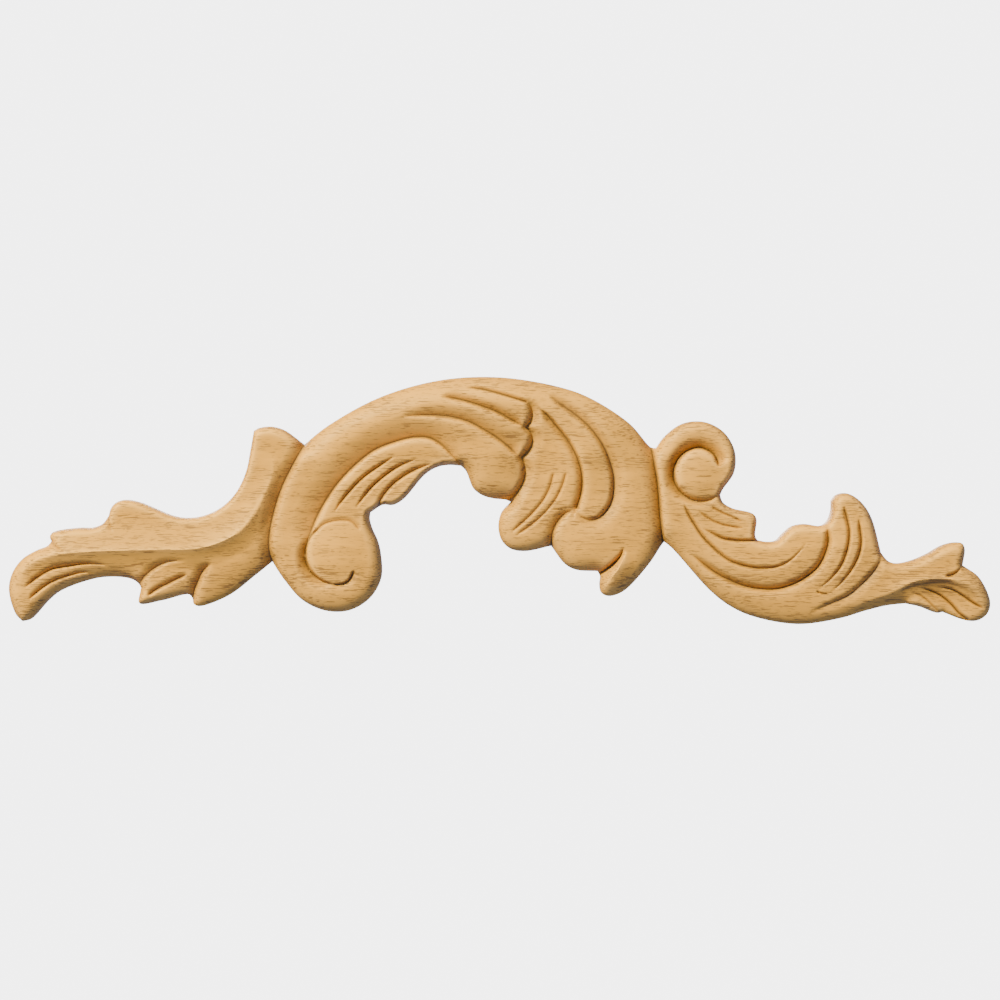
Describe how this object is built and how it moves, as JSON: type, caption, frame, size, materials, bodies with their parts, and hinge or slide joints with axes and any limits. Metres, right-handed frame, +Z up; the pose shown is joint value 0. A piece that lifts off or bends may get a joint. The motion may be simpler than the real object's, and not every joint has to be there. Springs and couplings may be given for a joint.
{
  "type": "carved wood applique",
  "caption": "Carved wooden acanthus scroll applique with a flat back, glued or pinned to furniture, mantels or walls as ornament.",
  "frame": {"origin": "on the flat back, at mid-length behind the crown of the arch, which is also the mount back", "axes": "+X to the right along the length as seen from the front, +Y out of the back into the surface it is fixed to, +Z up"},
  "size_m": [0.4, 0.0156, 0.1008],
  "materials": {
    "carved_wood": "sanded bare hardwood, pale honey tan, with fine open pores"
  },
  "bodies": {
    "root": {"acanthus_applique": "carved_wood"}
  },
  "joints": []
}
